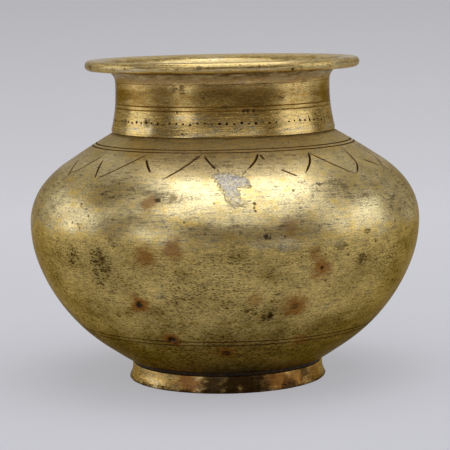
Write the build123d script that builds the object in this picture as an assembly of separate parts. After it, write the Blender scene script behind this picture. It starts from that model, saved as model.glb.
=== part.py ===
"""Lota: a small South Asian water pot of cast, lathe-turned and brazed brass.

The pot is built up as a brazier builds it. A hollow belly shell, cast round a core, stands on a
separate foot ring. A separate turned collar, with the flared rim, sleeves over a spigot on the
shell. Both joints are closed with brass spelter. The iron pins that held the core stay in the
wall, and a patch of soft solder covers an old leak on the shoulder.

Millimetres, +Z up. The origin is on the ground at the centre of the foot. Azimuth 0 is the front,
-Y, and positive azimuths turn towards +X. A turn is the angle between the wall's outward normal
and the horizontal: positive above the belly's widest line, negative below it.
"""
import os
from math import acos, cos, degrees, radians, sin, sqrt

from build123d import *

# ---------------------------------------------------------------- foot ring
foot_height = 6.0
foot_diameter = 69.2        # at the top edge
foot_flare = 1.2            # how far the foot spreads below that, at the radius
foot_hollow = 0.35          # how far the outer side is drawn in between its two edges
foot_thickness = 2.15       # at the top edge
foot_edge_wear = 0.5        # bevel worn on the two edges that stand on the ground

# ---------------------------------------------------------------- joint between foot and shell
foot_joint_gap = 1.2        # height of the spelter between the ring and the shell
foot_joint_recess = 0.6     # how far that spelter lies behind the ring's top edge
foot_fit = 0.15             # radial clearance round the register lip
register_depth = 1.0        # how far the shell's lip reaches down into the ring
register_width = 2.4

# ---------------------------------------------------------------- belly shell
belly_diameter = 140.0
heel_overhang = 0.7         # how far the shell's lower edge stands out over the foot's top edge
wall = 2.0
floor_thickness = 2.0
belly_lower_radius = 41.5   # arcs of the outer wall, from the widest line down to the heel
belly_lower_turn = 20.5
bowl_radius = 62.0
bowl_turn = 55.0
heel_radius = 250.0
belly_upper_radius = 22.0   # and from the widest line up to the spigot
belly_upper_turn = 37.5
shoulder_radius = 33.0
shoulder_turn = 55.5
slope_radius = 250.0

# ---------------------------------------------------------------- joint between shell and collar
spigot_height = 4.0
spigot_wall = 1.7
neck_fit = 0.25             # clearance round the spigot, full of spelter
neck_lip = 1.55             # thickness of the collar's sleeve round the spigot

# ---------------------------------------------------------------- neck collar
throat_diameter = 73.2
neck_base_land = 1.2        # plain band at the foot of the collar
neck_wall = 1.8             # at the waist
neck_waist_below_rim = 10.5
neck_waist_radius = 59.0
neck_height = 26.1          # from the outer edge of the neck joint to the top of the rim
rim_diameter = 98.3
rim_thickness = 3.7         # of the round bead
rim_fillet = 4.2            # under the rim, where the neck runs out into it
mouth_depth = 11.0          # height of the bell mouth, from the throat to the top of the rim

# ---------------------------------------------------------------- core pins and solder patch
core_pin_side = 2.0         # forged square nails
core_pin_angles = [         # azimuth and turn of each pin
    (-27.0, -28.0),
    (-19.0, -43.0),
    (21.0, -29.0),
    (93.0, -28.0),
    (141.0, -28.0),
    (161.0, -43.0),
    (-153.0, -28.0),
    (-99.0, -28.0),
]
patch_azimuth = 1.8
patch_turn = 48.0
patch_thickness = 0.4
patch_width = 9.6
patch_length = 10.0

# ---------------------------------------------------------------- sizes that follow from these
belly_r = belly_diameter / 2
throat_r = throat_diameter / 2
spigot_r = throat_r + spigot_wall
sleeve_r = spigot_r + neck_fit
neck_base_r = sleeve_r + neck_lip
neck_waist_r = throat_r + neck_wall
foot_top_r = foot_diameter / 2
foot_base_r = foot_top_r + foot_flare
heel_r = foot_top_r + heel_overhang
foot_bore_r = foot_top_r - foot_thickness
register_r = foot_bore_r - foot_fit
seat_z = foot_height + foot_joint_gap
register_z = foot_height - register_depth
floor_z = seat_z + floor_thickness

LOWER_ARCS = [(belly_lower_radius, belly_lower_turn), (bowl_radius, bowl_turn), (heel_radius, 90)]
UPPER_ARCS = [(belly_upper_radius, belly_upper_turn), (shoulder_radius, shoulder_turn), (slope_radius, 90)]


def wall_arcs(arcs, side, end_radius, offset=0.0):
    """Tangent arcs of the wall, from its widest line to end_radius.

    Each arc is (centre r, centre z, radius, first turn, last turn), with z counted from the widest
    line. side is 1 above that line and -1 below it, and offset moves the wall outwards.
    """
    chain = []
    centre_r, centre_z, first = belly_r - arcs[0][0], 0.0, 0.0
    for index, (radius, last) in enumerate(arcs):
        if index:
            step = arcs[index - 1][0] - radius
            centre_r += step * cos(radians(first))
            centre_z += step * sin(radians(first)) * side
        reach = (end_radius - centre_r) / (radius + offset)
        if cos(radians(last)) <= reach:
            chain.append((centre_r, centre_z, radius + offset, first, degrees(acos(reach))))
            break
        chain.append((centre_r, centre_z, radius + offset, first, last))
        first = last
    return chain


def arc_point(arc, turn, side):
    """Point on an arc of the wall, as r and z."""
    centre_r, centre_z, radius = arc[:3]
    return centre_r + radius * cos(radians(turn)), centre_z + side * radius * sin(radians(turn))


def rise_to(arcs, side, radius):
    """Height of the outer wall above its widest line, where it has this radius."""
    last = wall_arcs(arcs, side, radius)[-1]
    return arc_point(last, last[4], side)[1]


belly_z = seat_z - rise_to(LOWER_ARCS, -1, heel_r)
spigot_z = belly_z + rise_to(UPPER_ARCS, 1, spigot_r)
spigot_top_z = spigot_z + spigot_height
neck_base_z = belly_z + rise_to(UPPER_ARCS, 1, neck_base_r)
rim_z = neck_base_z + neck_height


def turned(section):
    """Solid of revolution of a section drawn with r along X and z along Y."""
    return revolve(Plane.XZ * section, axis=Axis.Z)


def drum(radius, low, high):
    """Cylinder on the pot's axis between two heights."""
    return Pos(0, 0, low) * Cylinder(radius, high - low, align=(Align.CENTER, Align.CENTER, Align.MIN))


def full_belly(offset, low_radius, high_radius):
    """The belly as a full solid, with its wall moved outwards by offset."""
    edges = []
    ends = []
    for arcs, side, end_radius in ((LOWER_ARCS, -1, low_radius), (UPPER_ARCS, 1, high_radius)):
        for arc in wall_arcs(arcs, side, end_radius, offset):
            first, last = arc[3:]
            points = [arc_point(arc, turn, side) for turn in (first, (first + last) / 2, last)]
            edges.append(ThreePointArc(*points))
        ends.append(points[-1])
    low, high = ends
    edges += Polyline(low, (0, low[1]), (0, high[1]), high).edges()
    return Pos(0, 0, belly_z) * turned(make_face(edges))


def wall_plane(azimuth, turn):
    """Plane on the outer wall, with its Z along the outward normal and its Y up the wall."""
    side = 1 if turn > 0 else -1
    arcs = UPPER_ARCS if turn > 0 else LOWER_ARCS
    chain = wall_arcs(arcs, side, 0.0)
    arc = next(a for a in chain if a[3] <= abs(turn) <= a[4])
    r, z = arc_point(arc, abs(turn), side)
    around = Vector(sin(radians(azimuth)), -cos(radians(azimuth)), 0)
    normal = around * cos(radians(turn)) + Vector(0, 0, sin(radians(turn)))
    along = Vector(cos(radians(azimuth)), sin(radians(azimuth)), 0)
    return Plane(origin=around * r + Vector(0, 0, belly_z + z), x_dir=along, z_dir=normal)


# ---------------------------------------------------------------- belly shell
# Outside: the belly, the spigot that carries the collar, and the lip that centres the foot.
belly = full_belly(0, heel_r, spigot_r) + drum(spigot_r, belly_z, spigot_top_z)
lip = drum(register_r, register_z, seat_z) - drum(register_r - register_width, register_z, seat_z)

# Inside: the cored hollow follows the wall down to a flat floor, and opens through the spigot.
hollow = full_belly(-wall, register_r, throat_r) - drum(belly_r, 0, floor_z)
hollow += drum(throat_r, belly_z, spigot_top_z)

shell = belly + lip - hollow
# The pins stand square to the wall and were turned flush with it.
core_pins = []
for azimuth, turn in core_pin_angles:
    rod = wall_plane(azimuth, turn) * Box(core_pin_side, core_pin_side, 4 * wall)
    core_pins.append((shell & rod).solid())
    shell -= rod

# ---------------------------------------------------------------- foot ring
foot_waist = ((foot_base_r + foot_top_r) / 2 - foot_hollow, foot_height / 2)
foot_outside = Spline((foot_base_r, foot_edge_wear), foot_waist, (foot_top_r, foot_height))
foot_inside = Polyline(
    (foot_top_r, foot_height),
    (foot_bore_r, foot_height),
    (foot_bore_r, foot_edge_wear),
    (foot_bore_r + foot_edge_wear, 0),
    (foot_base_r - foot_edge_wear, 0),
    (foot_base_r, foot_edge_wear),
)
foot_section = make_face([foot_outside, *foot_inside.edges()])
foot_ring = turned(foot_section)

foot_braze = drum(foot_top_r - foot_joint_recess, foot_height, seat_z) - drum(register_r, foot_height, seat_z)

# ---------------------------------------------------------------- neck collar
waist_z = rim_z - neck_waist_below_rim


def neck_r(z):
    """Outer radius of the waisted neck at a height."""
    return neck_waist_r + neck_waist_radius - sqrt(neck_waist_radius**2 - (z - waist_z) ** 2)


bead_r = (rim_diameter - rim_thickness) / 2
rim_low_z = rim_z - rim_thickness
mouth_z = rim_z - mouth_depth
band_top_z = neck_base_z + neck_base_land
fillet_z = rim_low_z - rim_fillet
fillet_r = neck_r(fillet_z)
fillet_out = rim_fillet * (1 - sqrt(0.5))   # how far the fillet has come out half way round
neck_section = make_face([
    Line((throat_r, belly_z), (neck_base_r, belly_z)),
    Line((neck_base_r, belly_z), (neck_base_r, band_top_z)),
    Line((neck_base_r, band_top_z), (neck_r(band_top_z), band_top_z)),
    ThreePointArc((neck_r(band_top_z), band_top_z), (neck_waist_r, waist_z), (fillet_r, fillet_z)),
    ThreePointArc(
        (fillet_r, fillet_z),
        (fillet_r + fillet_out, rim_low_z - fillet_out),
        (fillet_r + rim_fillet, rim_low_z),
    ),
    Line((fillet_r + rim_fillet, rim_low_z), (bead_r, rim_low_z)),
    ThreePointArc((bead_r, rim_low_z), (rim_diameter / 2, rim_z - rim_thickness / 2), (bead_r, rim_z)),
    EllipticalCenterArc((bead_r, mouth_z), bead_r - throat_r, mouth_depth, start_angle=90),
    Line((throat_r, mouth_z), (throat_r, belly_z)),
])
sleeve = drum(sleeve_r, belly_z, spigot_top_z)
neck_collar = turned(neck_section) - belly - sleeve
neck_braze = sleeve - drum(throat_r, belly_z, spigot_top_z) - belly

# ---------------------------------------------------------------- solder patch
# A wiped blob, with its outline in shares of its width and length: broad where it was fed, with a
# lobe that ran down the shoulder.
PATCH_SHAPE = [
    (-0.48, 0.07), (-0.40, -0.14), (-0.26, -0.30), (-0.08, -0.49), (0.14, -0.47), (0.21, -0.28),
    (0.27, -0.03), (0.51, 0.15), (0.26, 0.36), (0.04, 0.50), (-0.24, 0.51), (-0.50, 0.42),
]
patch_outline = Polyline([(x * patch_width, y * patch_length) for x, y in PATCH_SHAPE], close=True)
patch_prism = extrude(wall_plane(patch_azimuth, patch_turn) * make_face(patch_outline), 2 * wall, both=True)
solder_patch = (patch_prism & full_belly(patch_thickness, heel_r, neck_base_r)) - belly

# ---------------------------------------------------------------- one file for each piece
pieces = {
    "foot_ring": foot_ring,
    "foot_braze": foot_braze,
    "belly_shell": shell,
    "core_pins": Compound(children=core_pins),
    "neck_braze": neck_braze,
    "neck_collar": neck_collar,
    "solder_patch": solder_patch,
}
os.makedirs("parts", exist_ok=True)
for name, shape in pieces.items():
    export_step(shape, f"parts/{name}.step")
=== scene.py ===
import random
from math import cos, degrees, hypot, pi, radians, sin, sqrt

import bmesh
import bpy
from mathutils import Matrix, Vector
from mathutils.noise import fractal


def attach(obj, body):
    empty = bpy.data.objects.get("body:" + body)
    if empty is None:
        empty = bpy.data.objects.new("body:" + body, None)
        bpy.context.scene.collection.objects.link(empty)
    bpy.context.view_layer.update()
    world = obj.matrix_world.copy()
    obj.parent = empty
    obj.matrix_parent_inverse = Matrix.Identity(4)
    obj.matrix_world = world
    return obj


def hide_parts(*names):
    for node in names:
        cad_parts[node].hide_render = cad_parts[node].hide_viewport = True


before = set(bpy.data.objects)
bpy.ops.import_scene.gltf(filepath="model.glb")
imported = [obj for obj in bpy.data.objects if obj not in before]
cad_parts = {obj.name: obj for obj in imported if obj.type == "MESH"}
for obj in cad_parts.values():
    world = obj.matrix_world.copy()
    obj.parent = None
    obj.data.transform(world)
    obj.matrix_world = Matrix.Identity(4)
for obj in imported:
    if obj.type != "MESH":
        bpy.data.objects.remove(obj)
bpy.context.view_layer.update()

# ================================================================ foot ring
# The foot is a separate ring of cast brass, turned on the lathe and brazed under the belly. Years of
# standing and wet floors have stained it reddish brown, and its edges are pitted and bright.
MM = 0.001                  # sizes are given in mm, and the scene is in metres
FOOT_HEIGHT = 6.0
FOOT_TOP_R = 34.6
FOOT_BASE_R = 35.8
FOOT_SIDE_R = 35.2          # halfway up
FOOT_BORE_R = 32.45
FOOT_HOLLOW = 0.35          # how far the outer side is drawn in between its two edges
FOOT_EDGE = 0.5             # radius worn on the edges
SEAM = 0.002                # points of a turned piece that lie closer than this are joined
ALL_OF_IT = 240             # twice the pot's height and more: darker_below for pieces darker all over
CREASE = 35                 # edges of a piece that turn more than this, in degrees, stay crisp
SOFT_EDGE = 0.6             # how far a mark fades in and out at its edge, as a share of its radius


def linear(code):
    """Colour of an sRGB hex code, as linear red, green, blue and alpha."""
    parts = [int(code[i:i + 2], 16) / 255 for i in (1, 3, 5)]
    return tuple([p / 12.92 if p <= 0.04045 else ((p + 0.055) / 1.055) ** 2.4 for p in parts] + [1.0])


def add(tree, kind, settings=None, inputs=None):
    """Add a node with its settings, set or link its inputs by name or number, return its outputs."""
    node = tree.nodes.new(kind)
    for name, value in (settings or {}).items():
        setattr(node, name, value)
    for key, value in (inputs or {}).items():
        if isinstance(value, bpy.types.NodeSocket):
            tree.links.new(value, node.inputs[key])
        else:
            node.inputs[key].default_value = value
    return node.outputs


def maths(tree, operation, *values):
    """Add a node that works out one number from others."""
    return add(tree, "ShaderNodeMath", {"operation": operation}, dict(enumerate(values)))[0]


def vectors(tree, operation, *values):
    """Add a node that works out a vector, or one number, from vectors."""
    made = add(tree, "ShaderNodeVectorMath", {"operation": operation}, dict(enumerate(values)))
    return made[1] if operation in ("DISTANCE", "DOT_PRODUCT", "LENGTH") else made[0]


def scaled(tree, vector, factor):
    """Add a node that makes a vector longer by a factor."""
    return add(tree, "ShaderNodeVectorMath", {"operation": "SCALE"}, {0: vector, "Scale": factor})[0]


def mixed(tree, share, first, second):
    """Add a node that mixes a share of a second colour into the first."""
    return add(tree, "ShaderNodeMix", {"data_type": "RGBA"}, {0: share, 6: first, 7: second})[2]


def ramped(tree, value, start, end, low=0.0, high=1.0, shape="LINEAR"):
    """Add a node whose number goes from low to high as a value goes from start to end."""
    return add(tree, "ShaderNodeMapRange", {"interpolation_type": shape},
               {0: value, 1: start, 2: end, 3: low, 4: high})[0]


def eased(tree, value, start, end, low=0.0, high=1.0):
    """Add a node like that of ramped, whose number leaves low and reaches high gently."""
    return ramped(tree, value, start, end, low, high, "SMOOTHSTEP")


def end_material(tree, colour, metal, rough, relief=None, strength=0.0, depth=0.0, tint="#FFFFFF"):
    """End a material with its surface: colour, share of metal, roughness, and relief times depth."""
    looks = {"Base Color": colour, "Metallic": metal, "Roughness": rough, "Specular Tint": linear(tint)}
    if relief is not None:
        looks["Normal"] = add(tree, "ShaderNodeBump", {},
                              {"Strength": strength, "Distance": depth, "Height": relief})[0]
    body = add(tree, "ShaderNodeBsdfPrincipled", {}, looks)
    add(tree, "ShaderNodeOutputMaterial", {}, {"Surface": body[0]})


def begin_tree(name, inputs):
    """New Geometry Nodes tree with inputs given as name and kind, and those inputs' own outputs."""
    tree = bpy.data.node_groups.new(name, "GeometryNodeTree")
    for label, kind in inputs:
        tree.interface.new_socket(label, in_out="INPUT", socket_type="NodeSocket" + kind)
    tree.interface.new_socket("Made", in_out="OUTPUT", socket_type="NodeSocketGeometry")
    return tree, add(tree, "NodeGroupInput")


def end_tree(tree, made, material):
    """End a Geometry Nodes tree with what it made, as one mesh in its material."""
    solid = add(tree, "GeometryNodeRealizeInstances", {}, {0: made})[0]
    clad = add(tree, "GeometryNodeSetMaterial", {}, {"Geometry": solid, "Material": material})[0]
    add(tree, "NodeGroupOutput", {}, {0: clad})
    return tree


def lathe_tree():
    """Geometry Nodes that turn a profile, drawn as points with r along X, into a closed body."""
    tree, given = begin_tree("turn on the lathe", (
        ("Profile", "Geometry"), ("Points", "Int"), ("Facets", "Int"), ("Unevenness", "Float"),
        ("Unevenness Size", "Float"), ("Material", "Material")))
    rows = maths(tree, "ADD", given["Facets"], 1.0)
    grid = add(tree, "GeometryNodeMeshGrid", {}, {"Vertices X": given["Points"], "Vertices Y": rows})[0]
    index = add(tree, "GeometryNodeInputIndex")[0]
    share = maths(tree, "DIVIDE", index, rows)
    point = maths(tree, "FLOOR", share)
    step = maths(tree, "FLOORED_MODULO", index, rows)
    place = add(tree, "GeometryNodeInputPosition")[0]
    sample = add(tree, "GeometryNodeSampleIndex", {"data_type": "FLOAT_VECTOR"},
                 {"Geometry": given["Profile"], "Value": place, "Index": point})[0]
    turn = maths(tree, "DIVIDE", step, given["Facets"])
    angle = maths(tree, "MULTIPLY", turn, 2 * pi)
    turned = add(tree, "ShaderNodeVectorRotate", {"rotation_type": "Z_AXIS"},
                 {"Vector": sample, "Angle": angle})[0]
    shaped = add(tree, "GeometryNodeSetPosition", {}, {"Geometry": grid, "Position": turned})[0]
    joined = add(tree, "GeometryNodeMergeByDistance", {}, {"Geometry": shaped, "Distance": SEAM * MM})[0]
    # Hand work leaves the surface a little low here and there, never proud.
    size = maths(tree, "DIVIDE", 1.0, given["Unevenness Size"])
    waves = add(tree, "ShaderNodeTexNoise", {}, {"Vector": place, "Scale": size, "Detail": 2.0})[0]
    lowness = maths(tree, "MULTIPLY", waves, given["Unevenness"])
    flat = vectors(tree, "MULTIPLY", place, (-1, -1, 0))
    inward = vectors(tree, "NORMALIZE", flat)
    shift = scaled(tree, inward, lowness)
    worn = add(tree, "GeometryNodeSetPosition", {}, {"Geometry": joined, "Offset": shift})[0]
    smooth = add(tree, "GeometryNodeSetShadeSmooth", {}, {0: worn})[0]
    return end_tree(tree, smooth, given["Material"])


LATHE = lathe_tree()


def new_object(name, data):
    """Put a mesh, lamp or camera in the scene as an object at the origin."""
    piece = bpy.data.objects.new(name, data)
    bpy.context.scene.collection.objects.link(piece)
    return piece


def keep_evaluated(piece):
    """Turn what an object's modifiers make into its own plain mesh."""
    seen = piece.evaluated_get(bpy.context.evaluated_depsgraph_get())
    mesh = bpy.data.meshes.new_from_object(seen)
    piece.modifiers.clear()
    piece.data = mesh


def apply_nodes(piece, tree, values):
    """Run a Geometry Nodes tree on an object, keep the result as a plain mesh and drop the tree."""
    modifier = piece.modifiers.new("made by nodes", "NODES")
    modifier.node_group = tree
    for item in tree.interface.items_tree:
        if item.item_type == "SOCKET" and item.in_out == "INPUT" and item.name in values:
            modifier[item.identifier] = values[item.name]
    keep_evaluated(piece)


def turn_piece(name, profile, material, facets, unevenness, unevenness_size):
    """Turn a profile of (r, z) points in mm, in order with the solid on its left, into an object."""
    mesh = bpy.data.meshes.new(name)
    mesh.from_pydata([(r * MM, 0, z * MM) for r, z in profile], [], [])
    piece = new_object(name, mesh)
    apply_nodes(piece, LATHE, {
        "Points": len(profile), "Facets": facets, "Unevenness": unevenness * MM,
        "Unevenness Size": unevenness_size * MM, "Material": material})
    shape = bmesh.new()
    shape.from_mesh(piece.data)
    if shape.calc_volume(signed=True) < 0:
        bmesh.ops.reverse_faces(shape, faces=shape.faces)
    shape.to_mesh(piece.data)
    shape.free()
    piece.data.set_sharp_from_angle(angle=radians(CREASE))
    return piece


def arc(centre, radii, first, last, steps):
    """Points along an elliptical arc from one angle to another, in degrees."""
    angles = [radians(first + (last - first) * i / steps) for i in range(steps + 1)]
    return [(centre[0] + radii[0] * cos(a), centre[1] + radii[1] * sin(a)) for a in angles]


def shader(name):
    """New material with an empty tree."""
    material = bpy.data.materials.new(name)
    material.use_nodes = True
    material.node_tree.nodes.clear()
    return material, material.node_tree


def on_pot(azimuth, r, z):
    """Point of the scene at an azimuth, with r and z in mm; azimuth 0 is the front, -Y."""
    return Vector((r * sin(radians(azimuth)), -r * cos(radians(azimuth)), z)) * MM


def spots(kind, places, edge=SOFT_EDGE):
    """Marks of one kind: (point of the scene, radius in mm, strength) for each."""
    return [(kind, "spot", centre, size, strength, edge) for centre, size, strength in places]


def rings(kind, places):
    """Marks of one kind that run round the pot: (r, z, radius of the band in mm, strength) for each."""
    return [(kind, "ring", Vector((r, 0, z)) * MM, size, strength, SOFT_EDGE)
            for r, z, size, strength in places]


def cover_by(tree, kind, marks, places, ragged):
    """Greatest cover at each point by the marks of one kind, with ragged edges."""
    cover = 0.0
    for _, shape, centre, size, strength, edge in [mark for mark in marks if mark[0] == kind]:
        away = vectors(tree, "DISTANCE", places[shape], centre)
        away = maths(tree, "MULTIPLY_ADD", away, 1 / (size * MM), ragged)
        here = eased(tree, away, 1 + edge, 1 - edge, 0.0, strength)
        cover = maths(tree, "MAXIMUM", cover, here)
    return cover


def turned_brass(name, tones, polish, marks, rubbed_and_highlit_at, reach, darker_below, pitting=1.0, lathe=2.8):
    """Old brass, cast, turned and rubbed, under tarnish that has grown in from its pores.

    tones are its rubbed, plain and dull colours, and polish is its usual roughness. It is paler
    within a reach of the two heights in rubbed_and_highlit_at, partly where hands rub it and partly
    as a painted highlight where the lamps' reflections fall. It is darker below darker_below, and
    darkest from half that height down, partly from soil and, on the belly, partly as painted shade
    at the bottom. All are in mm. The fine marks are lathe times as long as they are high. The eye
    gets a soft sheen, streaked the way the lathe and the rag ran, with fine dark pores.
    """
    rubbed, plain, dull = [linear(code) for code in tones]
    material, tree = shader(name)
    place = add(tree, "ShaderNodeTexCoord")["Object"]
    z = add(tree, "ShaderNodeSeparateXYZ", {}, {0: place})[2]
    spread = vectors(tree, "MULTIPLY", place, (1, 1, 0))
    r = vectors(tree, "LENGTH", spread)
    section = add(tree, "ShaderNodeCombineXYZ", {}, {0: r, 2: z})[0]
    places = {"spot": place, "ring": section}
    low, flat, drawn = [
        vectors(tree, "MULTIPLY", place, (1, 1, squeeze))
        for squeeze in (0.6 * lathe, lathe, 16)]
    clouds, mottle, streaks, grain, wander = [
        add(tree, "ShaderNodeTexNoise", {},
            {"Vector": run, "Scale": 1 / (size * MM), "Detail": detail, "Roughness": roughness})[0]
        for run, size, detail, roughness in (
            (low, 17, 4, 0.6),      # clouds of tarnish, as wide as a thumb
            (low, 3.4, 5, 0.72),    # mottling in them
            (drawn, 7, 5, 0.8),     # scratches of the rag, 0.4 mm wide, where real ones are 0.1 mm
            (flat, 0.8, 3, 0.9),    # marks of the lathe, on the belly twice as coarse as real ones
            (low, 5, 8, 0.75))]     # how far the edges of stains wander

    # Tarnish is thinner in the band where hands rub, which is also a painted highlight, and thicker low
    # down, where wet soil clings and painted shade darkens it.
    layers = add(tree, "ShaderNodeCombineXYZ", {}, {0: clouds, 1: mottle, 2: streaks})[0]
    tarnish = vectors(tree, "DOT_PRODUCT", layers, (0.32, 0.38, 0.30))
    # Darker low down: soil, and on the belly painted shade at the bottom.
    lower_darkening = eased(tree, z, darker_below * MM, darker_below * 0.5 * MM, 0.0, 0.10)
    # Height from the middle of the two heights of the rubbed, painted-highlight band, and then from the
    # nearer of them.
    middle = sum(rubbed_and_highlit_at) / 2
    from_highlit_band = z
    for height in (middle, rubbed_and_highlit_at[1] - middle):
        from_highlit_band = maths(tree, "SUBTRACT", from_highlit_band, height * MM)
        from_highlit_band = maths(tree, "ABSOLUTE", from_highlit_band)
    rubbed_and_highlit_band = eased(tree, from_highlit_band, 0.25 * reach * MM, reach * MM, -0.15, 0.0)
    for change in (lower_darkening, rubbed_and_highlit_band):
        tarnish = maths(tree, "ADD", tarnish, change)
    # Tarnish turns the rubbed colour plain and then dull, and the fine marks shade it evenly about 1.
    colour = rubbed
    for start, end, most, tone in ((0.32, 0.45, 1.0, plain), (0.49, 0.60, 0.8, dull)):
        share = eased(tree, tarnish, start, end, 0.0, most)
        colour = mixed(tree, share, colour, tone)
    fine = add(tree, "ShaderNodeCombineXYZ", {}, {0: grain, 1: streaks, 2: mottle})[0]
    shade = vectors(tree, "DOT_PRODUCT", fine, (3.0, 2.9, 2.6))
    shade = maths(tree, "SUBTRACT", shade, 3.25)
    colour = scaled(tree, colour, shade)

    # Stains have ragged edges, and brown smudges lie where pits crowd.
    ragged = maths(tree, "MULTIPLY_ADD", wander, 3.0, -1.5)
    rust, crowd, soil, painted_sheen = [cover_by(tree, kind, marks, places, ragged)
                               for kind in ("rust", "pits", "soil", "painted_sheen")]
    smudge = maths(tree, "MULTIPLY_ADD", crowd, 0.24, mottle)
    smudge = eased(tree, smudge, 0.62, 0.80, 0.0, 0.65)
    # Pores: long ones along the turning, most of them in tarnish, and a few round ones. They are
    # drawn 0.5 mm wide and up, coarser than most real ones.
    worn = add(tree, "ShaderNodeCombineXYZ", {}, {0: tarnish, 1: grain, 2: crowd})[0]
    depth = vectors(tree, "DOT_PRODUCT", worn, (1.5, 0.7, 0.25))
    long_pores = add(tree, "ShaderNodeTexVoronoi", {}, {"Vector": flat, "Scale": 1 / (1.5 * MM)})[0]
    long_pores = maths(tree, "SUBTRACT", long_pores, depth)
    long_pores = eased(tree, long_pores, -0.78, -1.06, 0.0, 0.85 * pitting)
    round_pores = add(tree, "ShaderNodeTexVoronoi", {}, {"Vector": place, "Scale": 1 / (6 * MM)})[0]
    round_pores = eased(tree, round_pores, 0.12, 0.05, 0.0, 0.75)
    pores = maths(tree, "MAXIMUM", long_pores, round_pores)
    for cover, code in ((rust, "#844C10"), (smudge, "#47361F"), (pores, "#3A2A10"), (soil, "#261305"),
                        (painted_sheen, "#D4BF88")):
        colour = mixed(tree, cover, colour, linear(code))

    # What covers the brass is rougher and less of a metal, and the painted sheen, a pale matt film that
    # brightens the brass as reflected light would, hardly is one.
    covered = maths(tree, "MAXIMUM", smudge, soil)
    covered = maths(tree, "MULTIPLY_ADD", rust, 0.6, covered)
    rough = polish - 0.25
    for cover, change in ((tarnish, 0.5), (covered, 0.2)):
        rough = maths(tree, "MULTIPLY_ADD", cover, change, rough)
    metal = 1.0
    for cover, change in ((covered, -0.1), (painted_sheen, -0.7)):
        metal = maths(tree, "MULTIPLY_ADD", cover, change, metal)
    # Scratches and mottling stand up to 0.05 and 0.07 mm proud, and pores are 0.09 mm deep.
    layers = add(tree, "ShaderNodeCombineXYZ", {}, {0: streaks, 1: mottle, 2: pores})[0]
    relief = vectors(tree, "DOT_PRODUCT", layers, (0.05 * MM, 0.07 * MM * pitting, -0.09 * MM))
    # The tint keeps its edges warm and a little dark, as old brass is where it turns away.
    end_material(tree, colour, metal, rough, relief, strength=0.7, depth=1.0, tint="#C4B496")
    return material


# Wet floors leave rust brown all round, soil that is blackest in front, and pits along the lowest
# edge. Between them the turned brass shines warm and pale.
foot_marks = spots("rust", [(on_pot(az, FOOT_SIDE_R, z), size, strength) for az, z, size, strength in (
    (-22, 3, 5, 0.8), (30, 2, 6, 0.8), (45, 4, 5, 0.7), (62, 3, 6, 0.6), (110, 3, 9, 0.8),
    (180, 3, 9, 0.9), (-130, 3, 8, 0.8))])
foot_marks += spots("soil", [(on_pot(az, FOOT_SIDE_R, z), size, strength) for az, z, size, strength in (
    (-8, 1.5, 5, 0.9), (2, 3, 6, 0.95), (12, 2.5, 6, 0.95), (20, 1, 4, 0.8), (38, 0, 3, 0.8),
    (52, 5, 3, 0.7), (140, 3, 8, 0.8), (-160, 2, 8, 0.8), (-95, 1, 5, 0.7))])
foot_marks += rings("pits", [(FOOT_BASE_R, 0.3, 1.6, 1.0)]) + rings("soil", [(35.6, -0.4, 0.9, 0.9)])
FOOT_BRASS = turned_brass(
    "old turned brass, stained by wet floors", ("#F4E8BE", "#CBAA68", "#74461A"), polish=0.32,
    marks=foot_marks, rubbed_and_highlit_at=(3, 3), reach=10, darker_below=ALL_OF_IT)
foot_profile = (
    [(FOOT_BORE_R, FOOT_HEIGHT), (FOOT_BORE_R, FOOT_EDGE)]
    + arc((FOOT_BORE_R + FOOT_EDGE, FOOT_EDGE), (FOOT_EDGE, FOOT_EDGE), 190, 270, 4)
    + arc((FOOT_BASE_R - FOOT_EDGE, FOOT_EDGE), (FOOT_EDGE, FOOT_EDGE), -90, -10, 5)
    + [(FOOT_BASE_R + (FOOT_TOP_R - FOOT_BASE_R) * t - FOOT_HOLLOW * sin(pi * t),
        FOOT_EDGE + (FOOT_HEIGHT - 2 * FOOT_EDGE) * t) for t in (0, 0.12, 0.25, 0.4, 0.55, 0.7, 0.85, 1)]
    + arc((FOOT_TOP_R - FOOT_EDGE, FOOT_HEIGHT - FOOT_EDGE), (FOOT_EDGE, FOOT_EDGE), 15, 90, 4)
    + [(FOOT_BORE_R, FOOT_HEIGHT)])
foot = turn_piece("turned_foot_ring", foot_profile, FOOT_BRASS, facets=360, unevenness=0.35,
                  unevenness_size=3.0)
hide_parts("foot_ring")
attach(foot, "root")

# ================================================================ foot braze
# Brass spelter, melted with borax into the joint between foot and belly. It lies back from both
# edges and has gone nearly black with soil, so the joint reads as a dark rough line.


def two_toned(name, grit, detail, roughness, start, end, dark, pale):
    """New material whose two tones are mixed by a noise with features of grit mm.

    It is dark below start and pale above end. Returns the material, its tree, the point of the
    surface, the noise and the colour.
    """
    material, tree = shader(name)
    place = add(tree, "ShaderNodeTexCoord")["Object"]
    crust = add(tree, "ShaderNodeTexNoise", {},
                {"Vector": place, "Scale": 1 / (grit * MM), "Detail": detail, "Roughness": roughness})[0]
    share = ramped(tree, crust, start, end)
    tone = mixed(tree, share, linear(dark), linear(pale))
    return material, tree, place, crust, tone


def finish_node(name, material):
    """Give a CAD node its material in every slot."""
    node = bpy.data.objects[name]
    if not node.material_slots:
        node.data.materials.append(material)
    for slot in node.material_slots:
        slot.material = material


# It froze in lumps of 1 to 2 mm, which soil has rounded.
SPELTER, tree, _, crust, tone = two_toned(
    "brass spelter, oxidised and full of soil", grit=1.6, detail=4, roughness=0.7, start=0.4, end=0.65,
    dark="#160D06", pale="#46300F")
end_material(tree, tone, metal=0.6, rough=0.6, relief=crust, strength=0.8, depth=0.3 * MM)
finish_node("foot_braze", SPELTER)

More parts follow.
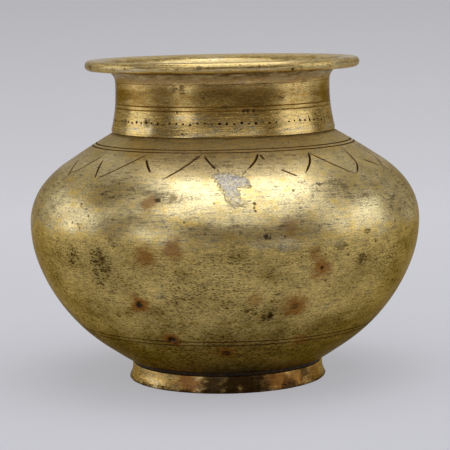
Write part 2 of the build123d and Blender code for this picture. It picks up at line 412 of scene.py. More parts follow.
# ================================================================ belly shell
# The belly is brass cast round a clay core, then turned and polished outside. Pairs of fine lines
# are turned round the shoulder and above the foot, and petals are chased by hand under the neck.
BELLY_R = 70.0
BELLY_Z = 57.18             # height of the widest line
WALL = 2.0
FLOOR_Z = 9.2
SEAT_Z = 7.2                # underside, where the foot is brazed on
HEEL_R = 35.3
LIP_Z = 5.0                 # the lip that centres the foot
LIP_R = 32.3
LIP_WIDTH = 2.4
THROAT_R = 36.6
SPIGOT_R = 38.3
SPIGOT_TOP_Z = 93.894
LOWER_ARCS = [(41.5, 20.5), (62.0, 55.0), (250.0, 90.0)]    # radius, and the turn where it ends
UPPER_ARCS = [(22.0, 37.5), (33.0, 55.5), (250.0, 90.0)]
LINE_RADII_TOP = (45.7, 47.0)      # turned lines, by their distance from the axis
LINE_RADII_BASE = (54.3, 52.85)
LINE_WIDTH = 0.6
LINE_DEPTH = 0.28
LINE_SHAPE = (-1, -0.25, 0.25, 1)  # points across a line, as shares of half its width
LINE_SOILED = 0.27                 # faces whose middle lies this near a line's are soiled
CRISP_EDGE = 0.35                  # of small hard marks
INSIDE_SLOT = 1                    # material slots of the belly and the neck
SOIL_SLOT = 2


def wall_arc(turn):
    """Arc of the belly's wall at a turn: centre r, its height off the widest line, and radius."""
    arcs = UPPER_ARCS if turn >= 0 else LOWER_ARCS
    centre_r = BELLY_R - arcs[0][0]
    centre_z = 0.0
    for (radius, last), (following, _) in zip(arcs, arcs[1:]):
        if abs(turn) <= last:
            return centre_r, centre_z, radius
        centre_r += (radius - following) * cos(radians(last))
        centre_z += (radius - following) * sin(radians(last))
    return centre_r, centre_z, following


def wall_point(turn, inset=0.0):
    """The belly's wall, as r and z, where its outward normal is turned up from the horizontal."""
    side = 1 if turn >= 0 else -1
    centre_r, centre_z, radius = wall_arc(turn)
    reach = radius - inset
    return centre_r + reach * cos(radians(turn)), BELLY_Z + side * centre_z + reach * sin(radians(turn))


def turn_where(reached, low, high, inset=0.0):
    """Turn between low and high at which a test of the wall's point first holds."""
    for _ in range(50):
        middle = (low + high) / 2
        if reached(*wall_point(middle, inset)):
            high = middle
        else:
            low = middle
    return high


def turn_at_height(z):
    """Turn of the belly's wall at a height."""
    return turn_where(lambda r, height: height >= z, -85, 85)


def line_reach(turn):
    """Half of a turned line's width, as a turn."""
    return degrees(LINE_WIDTH / 2 / wall_arc(turn)[2])


def line_depth(turn):
    """Depth of the turned lines at a turn of the wall."""
    return max([0.0] + [LINE_DEPTH * (1 - abs(turn - t) / line_reach(t)) for t in line_turns])


def even_steps(low, high, steps):
    """Numbers from low to high, both included, an equal step apart."""
    return [low + (high - low) * i / steps for i in range(steps + 1)]


HEEL_TURN = turn_where(lambda r, z: r <= HEEL_R, 0, -89)
NECK_TURN = turn_where(lambda r, z: r <= SPIGOT_R, 0, 89)
FLOOR_TURN = turn_where(lambda r, z: z <= FLOOR_Z, 0, HEEL_TURN, WALL)
line_turns = [turn_where(lambda r, z, limit=limit: r <= limit, 0, 89) for limit in LINE_RADII_TOP]
line_turns += [turn_where(lambda r, z, limit=limit: r <= limit, 0, -89) for limit in LINE_RADII_BASE]

# Each arc of the wall is stepped as finely as its radius needs, with a finer step at each line.
turns = []
for low, high, steps in ((HEEL_TURN, -55, 12), (-54.2, -20.5, 34), (-19.8, 20, 30), (20.6, 55.5, 32),
                         (55.8, NECK_TURN, 12)):
    turns += even_steps(low, high, steps)
turns = [t for t in turns if all(abs(t - line) > 1.05 * line_reach(line) for line in line_turns)]
for line in line_turns:
    turns += [line + share * line_reach(line) for share in LINE_SHAPE]
outer_wall = [wall_point(t, line_depth(t)) for t in sorted(turns)]
inner_turns = even_steps(NECK_TURN, -54, 60) + even_steps(-54.5, FLOOR_TURN, 8)
inner_wall = [wall_point(t, WALL) for t in inner_turns]
inner_wall = [(r, z) for r, z in inner_wall if z < BELLY_Z or r > THROAT_R]
belly_profile = (
    [(0, SEAT_Z), (LIP_R - LIP_WIDTH, SEAT_Z), (LIP_R - LIP_WIDTH, LIP_Z), (LIP_R, LIP_Z),
     (LIP_R, SEAT_Z)]
    + [(HEEL_R - 0.35, SEAT_Z), (HEEL_R - 0.08, SEAT_Z + 0.08)]     # the heel's edge is worn
    + outer_wall[1:]
    + [(SPIGOT_R, SPIGOT_TOP_Z), (THROAT_R, SPIGOT_TOP_Z), (THROAT_R, inner_wall[0][1] + 0.2)]
    + inner_wall
    + [(0, FLOOR_Z)])


def on_wall(azimuth, z):
    """Point of the scene on the belly's wall."""
    return on_pot(azimuth, wall_point(turn_at_height(z))[0], z)


# Marks of each kind on the belly, as azimuth, height, radius and strength. Rust comes from the core
# pins and from iron in the skin, and elsewhere pits crowd together.
rust_places = [
    (-27, 35.4, 3.4, 0.9), (-19.2, 22.3, 3.0, 0.9), (21, 34.7, 4.0, 0.75), (27.5, 47.3, 3.6, 0.8),
    (-22.2, 52.2, 3.4, 0.7), (-14.3, 54.8, 3.4, 0.65), (-22.5, 70.1, 2.6, 0.7), (18, 62.2, 2.8, 0.5),
    (8, 37.7, 2.4, 0.5), (-0.2, 17, 3.4, 0.6), (26.8, 20.7, 3.0, 0.6), (25, 52, 2.5, 0.5),
    (93, 35, 3.4, 0.8), (141, 35, 3.2, 0.8), (161, 22.3, 3.0, 0.8), (-153, 35, 3.4, 0.8),
    (-99, 35, 3.2, 0.8), (118, 60, 2.8, 0.6), (-125, 52, 3.0, 0.6), (175, 66, 2.6, 0.6)]
pitted_places = [
    (13.2, 31.2, 2.6, 1.0), (8, 33, 3.0, 0.6), (33.5, 54.3, 2.2, 0.9), (42.8, 58.4, 1.6, 0.8),
    (41.2, 48.7, 2.4, 0.9), (-37.8, 50.1, 5.0, 0.9), (-32, 57.4, 2.8, 0.9), (-47.8, 51.2, 4.0, 0.8),
    (-44.2, 65, 4.0, 0.6), (-39, 43, 3, 0.7), (-15.2, 71.3, 1.8, 0.9), (54.5, 77.9, 4.0, 0.7),
    (0, 45, 9.0, 0.45), (-12, 40, 8.0, 0.45), (20, 58, 9, 0.4), (55, 45, 8, 0.5), (-60, 45, 7, 0.6),
    (150, 45, 4.0, 0.8), (-140, 62, 3.8, 0.8), (100, 70, 5.0, 0.6), (-170, 48, 8.0, 0.6)]
soil_places = [
    (-27, 35.4, 1.1, 0.9), (-19.2, 22.3, 1.5, 0.95), (27.5, 47.3, 0.8, 0.8), (-19.5, 70.8, 1.0, 0.9),
    (13.6, 31.4, 1.0, 0.8), (-0.2, 17, 1.6, 0.7), (12, 58.5, 0.6, 0.8), (93, 35, 1.1, 0.8),
    (141, 35, 1.1, 0.8), (161, 22.3, 1.3, 0.8), (-153, 35, 1.1, 0.8), (-99, 35, 1.1, 0.8),
    (7.7, 74.7, 0.9, 0.8), (8.5, 69.6, 0.5, 0.8), (8.2, 68.2, 0.4, 0.8), (8.5, 67.3, 0.4, 0.8),
    (11, 59, 0.8, 0.9), (21.5, 85.8, 0.7, 0.9), (-50, 88.4, 1.4, 0.8), (-34, 88.4, 1.2, 0.7)]
belly_marks = []
for kind, mark_places, edge in (("rust", rust_places, SOFT_EDGE), ("pits", pitted_places, SOFT_EDGE),
                                ("soil", soil_places, CRISP_EDGE)):
    belly_marks += spots(
        kind, [(on_wall(az, z), size, strength) for az, z, size, strength in mark_places], edge)
# A pale matt film on the shoulder is a painted sheen, which brightens it where the brass would mirror
# the dark neck. Soil stays in both joints.
belly_marks += rings("painted_sheen", [(44, 86.5, 6, 0.42), (53, 80, 7, 0.36)])
belly_marks += rings("soil", [(40.2, 88.9, 0.5, 0.7), (35.0, 6.6, 1.2, 0.9)])
# Polished by hand: broad soft highlights on gold, over olive tarnish with brown stains. It is paler
# around 68 to 76 mm, partly rubbed and partly a painted highlight, and darker below 34 mm, partly
# soil and partly painted shade.
BELLY_BRASS = turned_brass(
    "cast brass, turned and hand polished, with old patina", ("#E2D2A4", "#BFA664", "#66501E"),
    polish=0.36, marks=belly_marks, rubbed_and_highlit_at=(68, 76), reach=18, darker_below=34)

# The inside was never turned or polished: it keeps its casting skin, brown from water and tamarind,
# and it is dark and hardly shines.
inside_marks = spots("soil", [
    (on_pot(az, r, z), 14, 0.6) for az, r, z in ((20, 20, 9), (150, 30, 12), (-100, 60, 40))])
INSIDE_BRASS = turned_brass(
    "brass with its casting skin, brown inside", ("#8F6F3C", "#6C4F2A", "#38260F"), polish=0.55,
    marks=inside_marks, rubbed_and_highlit_at=(110, 110), reach=18, darker_below=30)
# Soil and old polish cake in the cuts in clots of 2 mm, so that they read as thin dark strokes.
GROOVE_SOIL, tree, _, _, tone = two_toned(
    "soil and dried polish in the cut lines", grit=2.0, detail=3, roughness=0.5, start=0.4, end=0.65,
    dark="#1C1409", pale="#4A3718")
end_material(tree, tone, metal=0.5, rough=0.55)

belly = turn_piece("turned_belly", belly_profile, BELLY_BRASS, facets=320, unevenness=0.10,
                   unevenness_size=22.0)
belly.data.materials.append(INSIDE_BRASS)
belly.data.materials.append(GROOVE_SOIL)


def paint_inside(piece, test):
    """Give the inside material to the faces whose middle and normal pass a test."""
    for polygon in piece.data.polygons:
        if test(polygon.center / MM, polygon.normal):
            polygon.material_index = INSIDE_SLOT


def soil_lines(piece, lines, reach):
    """Give the soil material to the faces in the turned lines, by each line's r and z."""
    for polygon in piece.data.polygons:
        r = hypot(polygon.center.x, polygon.center.y) / MM
        z = polygon.center.z / MM
        if any(hypot(r - line[0], z - line[1]) < reach for line in lines):
            polygon.material_index = SOIL_SLOT


def inside_belly(middle, normal):
    """Whether a face of the belly is inside it, by its middle in mm and its normal."""
    out = middle.x * normal.x + middle.y * normal.y
    return middle.z > FLOOR_Z - 0.1 and (out < 0 or hypot(middle.x, middle.y) < HEEL_R - WALL)


paint_inside(belly, inside_belly)
soil_lines(belly, [wall_point(t, LINE_DEPTH / 2) for t in line_turns], LINE_SOILED)

# The petals are chased freehand with a graver: each side is one stroke, given as azimuth and height.
# Those at the rear are spaced evenly, and wander as the hand does.
FRONT_STROKES = [
    [(-72.5, 80.7), (-64, 76.2)], [(-56.5, 83.1), (-62.5, 77.2)], [(-53.2, 81.8), (-47.2, 76.5)],
    [(-33, 84), (-46, 76.5)], [(-31.3, 82.7), (-25.8, 78.8)], [(-8.8, 84.5), (-14.8, 80.4), (-20.2, 77)],
    [(-7.8, 83.9), (-1, 78.5)], [(13.8, 84.3), (11.8, 82.2), (4.8, 77.3)], [(14.5, 84), (15.5, 82.4)],
    [(19.8, 79.4), (24.5, 77.2)], [(36.2, 83.8), (33.5, 81.3), (28.2, 77.9)], [(36.5, 83.4), (47, 76.8)],
    [(58.8, 84.4), (56, 80.4), (54.2, 78.8), (48.8, 76.3)], [(62, 79.9), (69, 77.2)]]
PETAL_PITCH = 22.5
PETAL_TOP_Z = 84
PETAL_TIP_Z = 77
PETAL_REACH = (10.5, 12.5)         # least and most that a side reaches from the peak, in degrees
FIRST_REAR_PETAL = 81.3
REAR_PETALS = 9
STROKE_WIDTH = 0.95
STROKE_DEPTH = 0.5
hand = random.Random(7)
strokes = list(FRONT_STROKES)
for petal in range(REAR_PETALS):
    peak = FIRST_REAR_PETAL + petal * PETAL_PITCH + hand.uniform(-1.2, 1.2)
    top = PETAL_TOP_Z + hand.uniform(-0.5, 0.5)
    for side in (-1, 1):
        reach = side * hand.uniform(*PETAL_REACH)
        bottom = PETAL_TIP_Z + hand.uniform(-0.7, 0.7)
        bend = (peak + reach * 0.45, top - 4.2 + hand.uniform(-0.5, 0.5))
        strokes.append([(peak + side * 0.5, top), bend, (peak + reach, bottom)])


def along(points, share):
    """Point a share of the way along a run of points, eased so that three of them make a curve."""
    place = share * (len(points) - 1)
    index = min(int(place), len(points) - 2)
    before = points[max(index - 1, 0)]
    start = points[index]
    end = points[index + 1]
    after = points[min(index + 2, len(points) - 1)]
    t = place - index
    return tuple(
        0.5 * (2 * b + (c - a) * t + (2 * a - 5 * b + 4 * c - d) * t**2 + (3 * b - a - 3 * c + d) * t**3)
        for a, b, c, d in zip(before, start, end, after))


def wall_frame(azimuth, z):
    """Point on the belly's wall in mm, with the outward normal there."""
    turn = turn_at_height(z)
    r, height = wall_point(turn)
    level = cos(radians(turn))
    normal = Vector((sin(radians(azimuth)) * level, -cos(radians(azimuth)) * level, sin(radians(turn))))
    return on_pot(azimuth, r, height) / MM, normal


def gouge(shape, points, width, depth, steps=10):
    """Add to a mesh the wedge that one stroke takes out, fine at its ends and deep between."""
    lift = 0.3              # how far the wedge stands out of the wall
    flare = 1 + lift / depth
    rows = []
    for i in range(steps + 1):
        share = i / steps
        middle, normal = wall_frame(*along(points, share))
        ahead = wall_frame(*along(points, min(share + 0.02, 1)))[0]
        behind = wall_frame(*along(points, max(share - 0.02, 0)))[0]
        across = (ahead - behind).cross(normal).normalized()
        # The hand starts light, presses to full depth within a fifth of the stroke, and tires.
        press = 0.35 + 0.65 * min(1, 5 * min(share, 1 - share)) * (1 - 0.25 * share)
        half = width / 2 * press
        rows.append([shape.verts.new((middle + normal * lift + across * half * flare) * MM),
                     shape.verts.new((middle - normal * depth * press) * MM),
                     shape.verts.new((middle + normal * lift - across * half * flare) * MM)])
    for first, second in zip(rows, rows[1:]):
        for i in range(3):
            shape.faces.new((first[i], first[(i + 1) % 3], second[(i + 1) % 3], second[i]))
    shape.faces.new(rows[0])
    shape.faces.new(reversed(rows[-1]))


def carve(piece, shape):
    """Cut the closed wedges of a mesh out of a piece, leaving soil in the cuts."""
    bmesh.ops.recalc_face_normals(shape, faces=shape.faces)
    for face in shape.faces:
        face.material_index = SOIL_SLOT
    mesh = bpy.data.meshes.new("cutters")
    shape.to_mesh(mesh)
    shape.free()
    for slot in piece.material_slots:
        mesh.materials.append(slot.material)
    tool = new_object("cutters", mesh)
    modifier = piece.modifiers.new("carve", "BOOLEAN")
    modifier.operation = "DIFFERENCE"
    modifier.solver = "MANIFOLD"
    modifier.object = tool
    keep_evaluated(piece)
    bpy.data.objects.remove(tool)
    piece.data.set_sharp_from_angle(angle=radians(CREASE))


# Two batches, so that no two wedges of a batch meet.
for batch in (strokes[0::2], strokes[1::2]):
    wedges = bmesh.new()
    for points in batch:
        gouge(wedges, points, STROKE_WIDTH, STROKE_DEPTH)
    carve(belly, wedges)
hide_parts("belly_shell")
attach(belly, "root")

# ================================================================ core pins
# Square iron nails held the clay core in the mould while the brass was poured. They stay in the
# wall, filed flush, and rust in it: matt brown squares with flakes under 1 mm, most of them with a
# cap of black scale.
PIN_IRON, tree, place, crust, tone = two_toned(
    "forged iron, rusted in the wall", grit=0.8, detail=4, roughness=0.7, start=0.35, end=0.65,
    dark="#54360F", pale="#8A6224")
ragged = maths(tree, "MULTIPLY_ADD", crust, 1.6, -0.8)
black_scale = spots("soil", [(on_wall(az, z), 1.1, 0.95) for az, z in (
    (-27, 35.4), (-19.2, 22.6), (93, 35), (161, 22.6), (-99, 35))])
scale = cover_by(tree, "soil", black_scale, {"spot": place}, ragged)
tone = mixed(tree, scale, tone, linear("#140C07"))
end_material(tree, tone, metal=0.8, rough=0.6, relief=crust, strength=0.8, depth=0.2 * MM)
finish_node("core_pins", PIN_IRON)

# ================================================================ neck braze
# The same spelter runs up the thin gap between the spigot and the collar, and shows as a line
# inside the throat.
finish_node("neck_braze", SPELTER)

# ================================================================ neck collar
# The collar is a second casting, turned all over and sleeved on the spigot. It widens to a round
# bead, which the hand and a well rope rub bright; its paleness is partly a painted highlight.
NECK_BASE_R = 40.1
NECK_BASE_Z = 88.879
NECK_BEVEL = 0.35           # worn on the collar's lower edge
BAND_TOP_Z = 90.079         # top of the plain band at the foot of the collar
WAIST_R = 38.4
WAIST_Z = 104.479
WAIST_RADIUS = 59.0
RIM_Z = 114.979
RIM_R = 49.15
RIM_THICKNESS = 3.7
RIM_FILLET = 4.2
MOUTH_DEPTH = 11.0
SLEEVE_R = 38.55
SLEEVE_Z = NECK_BASE_Z + 0.6    # lower end of the sleeve's bore
SKIN_TOP_Z = 104            # the casting skin inside ends here, and the turned mouth begins
NECK_LINES = ((98.2, 0.5, 0.22), (99.6, 0.5, 0.22), (107.4, 0.6, 0.25))     # height, width, depth
NECK_LINE_SOILED = 0.13     # these are narrower and cleaner than the belly's


def neck_side(z):
    """Radius of the collar's outside, with its turned lines."""
    r = WAIST_R + WAIST_RADIUS - sqrt(WAIST_RADIUS**2 - (z - WAIST_Z) ** 2)
    cuts = [depth * (1 - abs(z - height) / (width / 2)) for height, width, depth in NECK_LINES]
    return r - max([0.0] + cuts)


fillet_z = RIM_Z - RIM_THICKNESS - RIM_FILLET
heights = even_steps(BAND_TOP_Z, fillet_z, 40)
heights = [h for h in heights if all(abs(h - line[0]) > 0.5 for line in NECK_LINES)]
for height, width, _ in NECK_LINES:
    heights += [height + share * width / 2 for share in LINE_SHAPE]
bead = (RIM_R - RIM_THICKNESS / 2, RIM_Z - RIM_THICKNESS / 2)
fillet_centre = (neck_side(fillet_z) + RIM_FILLET, fillet_z)
neck_profile = (
    [(SLEEVE_R, SLEEVE_Z), (NECK_BASE_R - NECK_BEVEL, NECK_BASE_Z + NECK_BEVEL), (NECK_BASE_R, SLEEVE_Z),
     (NECK_BASE_R, BAND_TOP_Z - 0.2), (NECK_BASE_R - 0.1, BAND_TOP_Z)]
    + [(neck_side(h), h) for h in sorted(heights)]
    + arc(fillet_centre, (RIM_FILLET, RIM_FILLET), 178, 92, 12)
    + arc(bead, (RIM_THICKNESS / 2, RIM_THICKNESS / 2), -90, 90, 24)
    + arc((bead[0], RIM_Z - MOUTH_DEPTH), (bead[0] - THROAT_R, MOUTH_DEPTH), 92, 180, 24)
    + [(THROAT_R, 100), (THROAT_R, SPIGOT_TOP_Z), (SLEEVE_R, SPIGOT_TOP_Z), (SLEEVE_R, SLEEVE_Z)])

# Pits on the neck, soil in and beside its lines, a brown stain and painted shade under the rim,
# and a painted sheen on top of the rim and in the mouth.
neck_marks = spots("pits", [(on_pot(az, r, z), size, strength) for az, r, z, size, strength in (
    (-41.5, 39.3, 94.4, 2.4, 1.0), (-30, 39.2, 93, 2.0, 0.7), (47, 38.5, 106.7, 1.8, 0.9),
    (30.8, 38.5, 101.9, 1.4, 0.8), (-26, 38.4, 105.4, 1.5, 0.9), (-21, 38.4, 105.5, 1.5, 0.9),
    (120, 38.5, 100, 2.0, 0.8), (-150, 38.6, 97, 2.0, 0.8))])
neck_marks += rings("pits", [(49.4, 112.9, 1.3, 0.7)])
# Rust and soil on the fillet under the rim: a brown stain, and painted shade under the bead.
neck_marks += rings("rust", [(39.6, 109.6, 2.4, 0.75)]) + rings("soil", [(40.4, 110.4, 1.9, 0.8)])
# Painted sheen: a pale film that brightens the top of the rim and the mouth, standing in for light.
neck_marks += rings("painted_sheen", [(45.5, 115.3, 3.2, 0.8), (37.4, 112.4, 3.4, 1)])
neck_marks += spots("soil", [
    (on_pot(az, 49.5, 113), size, 0.5) for az, size in ((-86, 4), (-70, 2), (94, 2), (160, 5))])
neck_marks += spots("soil", [(on_pot(az, 38.8, 98), 0.6, 0.9) for az in (10.5, 12.5, 15.8, -75, 130)]
                    + [(on_pot(-9, 49.3, 113.5), 0.8, 0.9), (on_pot(29, 49, 112.1), 0.8, 0.9)],
                    CRISP_EDGE)
# Turned brighter than the belly and rubbed more: narrow highlights, drawn out round the neck. It is
# paler near 91 and 115 mm, at the foot of the collar and at the bead, partly rubbed and partly a
# painted highlight.
NECK_BRASS = turned_brass(
    "brass collar, bright turned, rubbed by hands", ("#F2E6C6", "#CDB274", "#785820"), polish=0.22,
    marks=neck_marks, rubbed_and_highlit_at=(91, 115), reach=14, darker_below=ALL_OF_IT, pitting=0.3, lathe=7)
neck = turn_piece("turned_neck", neck_profile, NECK_BRASS, facets=320, unevenness=0.06,
                  unevenness_size=14.0)
neck.data.materials.append(INSIDE_BRASS)
neck.data.materials.append(GROOVE_SOIL)
paint_inside(neck, lambda middle, normal: (
    middle.x * normal.x + middle.y * normal.y < 0 and middle.z < SKIN_TOP_Z))
soil_lines(neck, [(neck_side(height) + depth / 2, height) for height, _, depth in NECK_LINES],
           NECK_LINE_SOILED)

# A row of dots is struck round the neck with a small punch, by eye and a little unevenly.
DOT_Z = 93.9
DOT_COUNT = 98
DOT_SIZE = 0.62
DOT_DEPTH = 0.4
DOT_SCATTER = 0.3


def punch_tree():
    """Geometry Nodes that set wedge-shaped punches round a circle, each one off its place by hand."""
    tree, given = begin_tree("punched row", (
        ("Start", "Geometry"), ("Count", "Int"), ("Radius", "Float"), ("Height", "Float"),
        ("Size", "Float"), ("Depth", "Float"), ("Scatter", "Float"), ("Material", "Material")))
    ring = add(tree, "GeometryNodeMeshCircle", {},
               {"Vertices": given["Count"], "Radius": given["Radius"]})[0]
    off = scaled(tree, (0.3, 0.3, 1.0), given["Scatter"])
    back = scaled(tree, off, -1.0)
    shake = add(tree, "FunctionNodeRandomValue", {"data_type": "FLOAT_VECTOR"},
                {0: back, 1: off, "Seed": 3})[0]
    lift = add(tree, "ShaderNodeCombineXYZ", {}, {2: given["Height"]})[0]
    offset = vectors(tree, "ADD", shake, lift)
    placed = add(tree, "GeometryNodeSetPosition", {}, {"Geometry": ring, "Offset": offset})[0]
    twice = maths(tree, "MULTIPLY", given["Depth"], 2.0)
    cone = add(tree, "GeometryNodeMeshCone", {},
               {"Vertices": 6, "Radius Top": 0.0, "Radius Bottom": given["Size"], "Depth": twice})[0]
    place = add(tree, "GeometryNodeInputPosition")[0]
    inward = vectors(tree, "MULTIPLY", place, (-1, -1, 0))
    aim = add(tree, "FunctionNodeAlignRotationToVector", {"axis": "Z"}, {"Vector": inward})[0]
    size = add(tree, "FunctionNodeRandomValue", {"data_type": "FLOAT"}, {2: 0.75, 3: 1.15, "Seed": 5})[1]
    punches = add(tree, "GeometryNodeInstanceOnPoints", {},
                  {"Points": placed, "Instance": cone, "Rotation": aim, "Scale": size})[0]
    return end_tree(tree, punches, given["Material"])


punches = new_object("punches", bpy.data.meshes.new("punches"))
apply_nodes(punches, punch_tree(), {
    "Count": DOT_COUNT, "Radius": (neck_side(DOT_Z) + 0.05) * MM, "Height": DOT_Z * MM,
    "Size": DOT_SIZE * MM, "Depth": DOT_DEPTH * MM, "Scatter": DOT_SCATTER * MM,
    "Material": GROOVE_SOIL})
dots = bmesh.new()
dots.from_mesh(punches.data)
bpy.data.objects.remove(punches)
carve(neck, dots)
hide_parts("neck_collar")
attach(neck, "root")

# ================================================================ solder patch
# A tinker closed an old leak on the shoulder with soft solder, wiped on with a hot iron. It thins out
# to nothing at its edges, and the brass shows through where it ran down.
PATCH_EDGE = [(-4.4, 78.3), (0, 79.1), (5.6, 78.2), (8.2, 76.6), (7.4, 74.8), (4.4, 74.2), (4.6, 71.6),
              (6.4, 69.6), (5.2, 68.6), (2.2, 68.8), (0.8, 70.6), (-1.2, 73.8), (-2.6, 76.6)]
PATCH_Z = 74                # the patch's middle
PATCH_REACH = 2.0           # how far past its edge the mesh runs on, sunk in the wall
PATCH_HEIGHT = 0.3
PATCH_DIP = 0.8             # how far it dips under the wall past its edge, as a share of its height
PATCH_SLOPE = 0.9           # share of its height that it gains with each mm in from its edge
PATCH_SPREAD = 0.15         # share of its height that it has on the edge itself
PATCH_STEP = 0.14
PATCH_SINK = 0.7
RAGS_PER_MM = 0.8           # fineness of its ragged edge, and of the lumps on it
LUMPS_PER_MM = 1.2
RAGS = (0.7, 2.1, 6)        # noise: loss of size, gain in fineness and number of its layers
LUMPS = (0.5, 2.1, 4)


def depth_inside(point, corners):
    """Distance from a point to the nearest side of a flat shape, negative outside it."""
    nearest = 1e9
    inside = False
    for a, b in zip(corners, corners[1:] + corners[:1]):
        side = b - a
        share = min(1, max(0, (point - a).dot(side) / side.length_squared))
        nearest = min(nearest, (a + side * share - point).length)
        if (a.y > point.y) != (b.y > point.y) and point.x < a.x + side.x * (point.y - a.y) / side.y:
            inside = not inside
    return nearest if inside else -nearest


def run_down(z):
    """Length in mm measured down the belly's wall, from its widest line to a height."""
    places = [wall_point(t) for t in even_steps(0, turn_at_height(z), 30)]
    return sum(hypot(b[0] - a[0], b[1] - a[1]) for a, b in zip(places, places[1:]))


patch_r = wall_point(turn_at_height(PATCH_Z))[0]
corners = [Vector((radians(az) * patch_r, run_down(z))) for az, z in PATCH_EDGE]
left = min(c.x for c in corners) - PATCH_REACH
right = max(c.x for c in corners) + PATCH_REACH
rise = PATCH_REACH * 0.6        # as the wall leans, its height grows by less than its length
low_z = min(z for _, z in PATCH_EDGE) - rise
high_z = max(z for _, z in PATCH_EDGE) + rise
columns = round((right - left) / PATCH_STEP)
lines = round((run_down(high_z) - run_down(low_z)) / PATCH_STEP)
blob = bmesh.new()
skins = []
thickness = []
for top in (True, False):
    skin = []
    for j in range(lines + 1):
        z = low_z + (high_z - low_z) * j / lines
        down = run_down(z)
        for i in range(columns + 1):
            across = left + (right - left) * i / columns
            middle, normal = wall_frame(degrees(across / patch_r), z)
            lift = -PATCH_SINK
            if top:
                ragged = fractal(Vector((across, down, 0)) * RAGS_PER_MM, *RAGS)
                level = depth_inside(Vector((across, down)), corners) * PATCH_SLOPE
                level = level + ragged + PATCH_SPREAD
                crust = 1 + 0.5 * fractal(Vector((across, down, 9)) * LUMPS_PER_MM, *LUMPS)
                lift = PATCH_HEIGHT * max(-PATCH_DIP, min(1, level)) * crust
            thickness.append(lift / PATCH_HEIGHT)
            skin.append(blob.verts.new((middle + normal * lift) * MM))
    skins.append(skin)
wide = columns + 1
for j in range(lines):
    for i in range(columns):
        k = j * wide + i
        for skin in skins:
            blob.faces.new((skin[k], skin[k + 1], skin[k + 1 + wide], skin[k + wide]))
border = list(range(columns)) + [columns + j * wide for j in range(lines)]
border += [lines * wide + columns - i for i in range(columns)]
border += [(lines - j) * wide for j in range(lines)]
for a, b in zip(border, border[1:] + border[:1]):
    blob.faces.new((skins[0][a], skins[0][b], skins[1][b], skins[1][a]))
bmesh.ops.recalc_face_normals(blob, faces=blob.faces)


def smooth_mesh(name, shape, material):
    """Mesh with smooth faces, from a bmesh that it frees."""
    mesh = bpy.data.meshes.new(name)
    shape.to_mesh(mesh)
    shape.free()
    for polygon in mesh.polygons:
        polygon.use_smooth = True
    mesh.materials.append(material)
    return mesh


# Tin and lead, gone dull and faintly lilac, in ripples about 2 mm apart that the wiping left, with
# painted glints, near-white specks, and brass showing where it is thin.
SOLDER, tree, place, mottle, tone = two_toned(
    "soft solder, wiped and gone grey", grit=2.2, detail=7, roughness=0.8, start=0.36, end=0.60,
    dark="#96908A", pale="#CAC4B8")
# It ran thin at its lower end and between the ripples, and a painted glint, a near-white speck, is
# set once every few mm.
thick = add(tree, "ShaderNodeAttribute", {"attribute_name": "thickness"})["Fac"]
z = add(tree, "ShaderNodeSeparateXYZ", {}, {0: place})[2]
low_end = ramped(tree, z, 75 * MM, 69 * MM, 0.0, -0.45)
thick = maths(tree, "ADD", thick, low_end)
thick = maths(tree, "MULTIPLY_ADD", mottle, -2.4, thick)
thin = eased(tree, thick, -0.1, -0.9, 0.0, 0.95)
painted_glint = add(tree, "ShaderNodeTexVoronoi", {}, {"Vector": place, "Scale": 1 / (1.6 * MM)})[0]
painted_glint = ramped(tree, painted_glint, 0.16, 0.10)
for cover, code in ((thin, "#D9C894"), (painted_glint, "#E6E4E8")):
    tone = mixed(tree, cover, tone, linear(code))
end_material(tree, tone, metal=0.85, rough=0.42, relief=mottle, strength=0.7, depth=0.25 * MM)
mesh = smooth_mesh("wiped_solder", blob, SOLDER)
mesh.attributes.new("thickness", "FLOAT", "POINT").data.foreach_set("value", thickness)
patch = new_object("wiped_solder", mesh)
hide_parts("solder_patch")
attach(patch, "root")

# ================================================================ floor and backdrop
# A sheet of pale paper runs from under the pot up behind it in one curve. Seen straight or in the
# brass, it is evenly pale, and its shadow is half as deep. Its glow carries a painted falloff of
# light: brightest behind the pot, dimming as it turns up.
SWEEP_FRONT = -0.55         # its front edge and the foot of its curve, in metres from the pot
SWEEP_TURN = 0.8
SWEEP_RADIUS = 0.8
SWEEP_TOP = 2.4
SWEEP_SIDE = 2.2            # half of its width
PAPER, tree = shader("pale grey paper sweep")
paper_lit = add(tree, "ShaderNodeBsdfDiffuse", {}, {"Color": linear("#CED0DC")})[0]
place = add(tree, "ShaderNodeTexCoord")["Object"]
_, behind, height = add(tree, "ShaderNodeSeparateXYZ", {}, {0: place})
# Painted falloff of light on the paper: brighter behind the pot, dimmer as it turns up.
level = ramped(tree, behind, 0.0, 0.5, 0.98, 1.2)
painted_dimming = ramped(tree, height, 0.0, 0.13, 0.0, 0.26)
level = maths(tree, "SUBTRACT", level, painted_dimming)
paper_with_painted_falloff = add(tree, "ShaderNodeEmission", {}, {"Color": linear("#CECED3"), "Strength": level})[0]
path = add(tree, "ShaderNodeLightPath")
seen = maths(tree, "ADD", path["Is Camera Ray"], path["Is Glossy Ray"])
seen = maths(tree, "ADD", seen, path["Is Transmission Ray"])
share = add(tree, "ShaderNodeMath", {"operation": "MULTIPLY", "use_clamp": True}, {0: seen, 1: 0.6})[0]
body = add(tree, "ShaderNodeMixShader", {}, {0: share, 1: paper_lit, 2: paper_with_painted_falloff})
add(tree, "ShaderNodeOutputMaterial", {}, {"Surface": body[0]})
sweep_line = [(SWEEP_FRONT, 0.0), (SWEEP_TURN, 0.0)]
sweep_line += arc((SWEEP_TURN, SWEEP_RADIUS), (SWEEP_RADIUS, SWEEP_RADIUS), -84, 0, 14)
sweep_line += [(SWEEP_TURN + SWEEP_RADIUS, SWEEP_TOP)]
paper = bmesh.new()
edges = [[paper.verts.new((x, y, z)) for y, z in sweep_line] for x in (-SWEEP_SIDE, SWEEP_SIDE)]
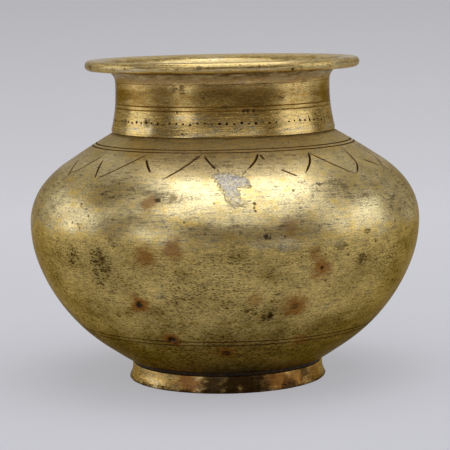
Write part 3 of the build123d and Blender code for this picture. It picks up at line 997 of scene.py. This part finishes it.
for i in range(len(sweep_line) - 1):
    paper.faces.new((edges[0][i], edges[1][i], edges[1][i + 1], edges[0][i + 1]))
sweep = new_object("paper_sweep", smooth_mesh("paper_sweep", paper, PAPER))

# ================================================================ lights
# Soft boxes all round, as in a light tent: the brightest overhead and low at each side, and dimmer
# ones in front, in a dim room.
AIM = Vector((0, 0, 60)) * MM
LAMP_COLOUR = linear("#F6F9FF")[:3]
# Azimuth and rise in degrees, width, height and distance in metres, and brightness, white being 1.
for name, azimuth, rise, width, height, distance, glow in (
        ("above", 100, 85, 1.12, 1.12, 1.2, 2.05),
        ("above_front", 0, 53, 1.4, 0.42, 1.2, 1.4),
        ("above_right", 66, 46, 0.7, 0.5, 1.2, 0.7),
        ("right_behind", 112, 30, 0.5, 0.4, 1.2, 0.35),
        ("right", 82, 8, 0.58, 0.7, 0.8, 1.05),
        ("left", 263, 7, 0.5, 0.7, 0.8, 1.05),
        ("above_left", 305, 46, 0.8, 0.5, 1.2, 0.5),
        ("left_behind", 238, 26, 0.5, 0.6, 1.2, 0.4),
        ("left_front", 319, 4, 0.4, 0.5, 1.2, 1.3),
        ("front", 0, 34, 1.7, 0.35, 1.2, 0.85)):
    lamp = bpy.data.lights.new("soft_box_" + name, "AREA")
    lamp.shape = "RECTANGLE"
    lamp.size = width
    lamp.size_y = height
    lamp.energy = glow * pi * width * height
    lamp.color = LAMP_COLOUR
    box = new_object("soft_box_" + name, lamp)
    box.visible_camera = False
    away = on_pot(azimuth, cos(radians(rise)), sin(radians(rise))) / MM
    turned = away.to_track_quat("Z", "Y").to_matrix().to_4x4()
    box.matrix_world = Matrix.Translation(AIM + away * distance) @ turned
room = bpy.data.worlds.new("dim studio")
room.use_nodes = True
tree = room.node_tree
tree.nodes.clear()
body = add(tree, "ShaderNodeBackground", {}, {"Color": linear("#E6D0A2"), "Strength": 0.24})
add(tree, "ShaderNodeOutputWorld", {}, {"Surface": body[0]})
bpy.context.scene.world = room

# ================================================================ camera
# A long lens a little above the pot's middle, tipped slightly to one side.
CAMERA_PLACE = Vector((0, -665.2, 136.7)) * MM
CAMERA_AIM = Vector((0, 0, 54.65)) * MM
CAMERA_ROLL = -1.07
LENS = 148.1
SENSOR = 36
lens = bpy.data.cameras.new("camera")
lens.lens = LENS
lens.sensor_width = SENSOR
camera = new_object("camera", lens)
look = (CAMERA_AIM - CAMERA_PLACE).to_track_quat("-Z", "Y").to_matrix().to_4x4()
roll = Matrix.Rotation(radians(CAMERA_ROLL), 4, "Z")
camera.matrix_world = Matrix.Translation(CAMERA_PLACE) @ look @ roll
bpy.context.scene.camera = camera
bpy.context.scene.view_settings.view_transform = "Standard"
